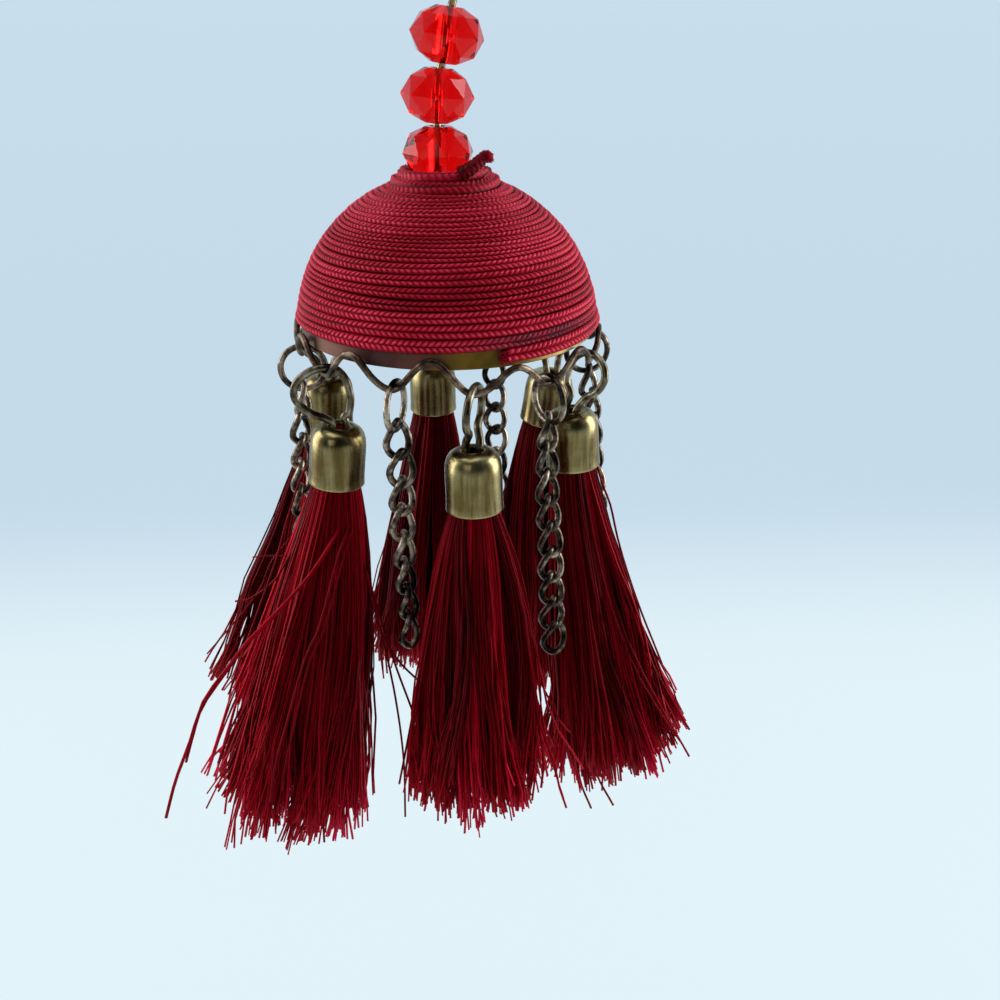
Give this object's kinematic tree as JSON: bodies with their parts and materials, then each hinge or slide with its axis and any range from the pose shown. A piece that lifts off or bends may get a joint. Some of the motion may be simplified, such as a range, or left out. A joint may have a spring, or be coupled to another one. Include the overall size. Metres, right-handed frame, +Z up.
{
  "type": "silk tassel ornament",
  "caption": "Hanging ornament: silk tassels in brass caps and short curb chains hang from a wavy wire round a cord-wound brass dome, under faceted beads on a looped wire.",
  "frame": {"origin": "inside of the top of the hang wire's eye, where a hook carries the ornament", "axes": "+Z up along the hanging ornament; -Y towards the front, where the cord's cut end shows; +X to its right"},
  "size_m": [0.0643, 0.0555, 0.1036],
  "materials": {
    "hang_wire": "thin antique brass wire, softly polished",
    "dome_brass": "antique brass, brushed, with darker stains at the rim",
    "rim_wire": "reddish dark bronze wire, soldered at its crests",
    "loop_wire": "antique brass wire, softly polished",
    "cap_brass": "antique brass cap, brushed down its sides, worn bright at the shoulder",
    "chain_bronze": "dark bronze chain, worn bright along its edges",
    "bead_glass": "faceted red glass, clear, with pale facet edges",
    "braided_cord": "crimson braided cord, a chevron of stitches along each turn",
    "silk": "crimson silk threads, glossy along their length"
  },
  "bodies": {
    "ornament": {"hang_wire": "hang_wire", "dome_shell": "dome_brass", "dome_cord": "braided_cord", "cord_tail": "braided_cord", "rim_wave": "rim_wire", "tassel_silk_1": "silk", "tassel_silk_2": "silk", "tassel_silk_3": "silk", "tassel_silk_4": "silk", "tassel_silk_5": "silk", "tassel_silk_6": "silk", "tassel_cap_1": "cap_brass", "tassel_cap_2": "cap_brass", "tassel_cap_3": "cap_brass", "tassel_cap_4": "cap_brass", "tassel_cap_5": "cap_brass", "tassel_cap_6": "cap_brass", "tassel_loop_1": "loop_wire", "tassel_loop_2": "loop_wire", "tassel_loop_3": "loop_wire", "tassel_loop_4": "loop_wire", "tassel_loop_5": "loop_wire", "tassel_loop_6": "loop_wire", "jump_ring_1": "chain_bronze", "jump_ring_2": "chain_bronze", "jump_ring_3": "chain_bronze", "jump_ring_4": "chain_bronze", "jump_ring_5": "chain_bronze", "curb_chain_1": "chain_bronze", "curb_chain_2": "chain_bronze", "curb_chain_3": "chain_bronze", "curb_chain_4": "chain_bronze", "curb_chain_5": "chain_bronze"},
    "bead_1": {"bead_1": "bead_glass"},
    "bead_2": {"bead_2": "bead_glass"},
    "bead_3": {"bead_3": "bead_glass"}
  },
  "joints": [
    {"name": "bead_1_spin", "type": "hinge", "parent": "ornament", "child": "bead_1", "pos_m": [0.00047, 0, -0.01013], "axis": [0.1305, 0, 0.9914], "continuous": true},
    {"name": "bead_2_spin", "type": "hinge", "parent": "ornament", "child": "bead_2", "pos_m": [-0.00069, 0, -0.01619], "axis": [0.0698, 0, 0.9976], "continuous": true},
    {"name": "bead_3_spin", "type": "hinge", "parent": "ornament", "child": "bead_3", "pos_m": [-0.00075, 0, -0.02218], "axis": [0.0087, 0, 1], "continuous": true}
  ]
}
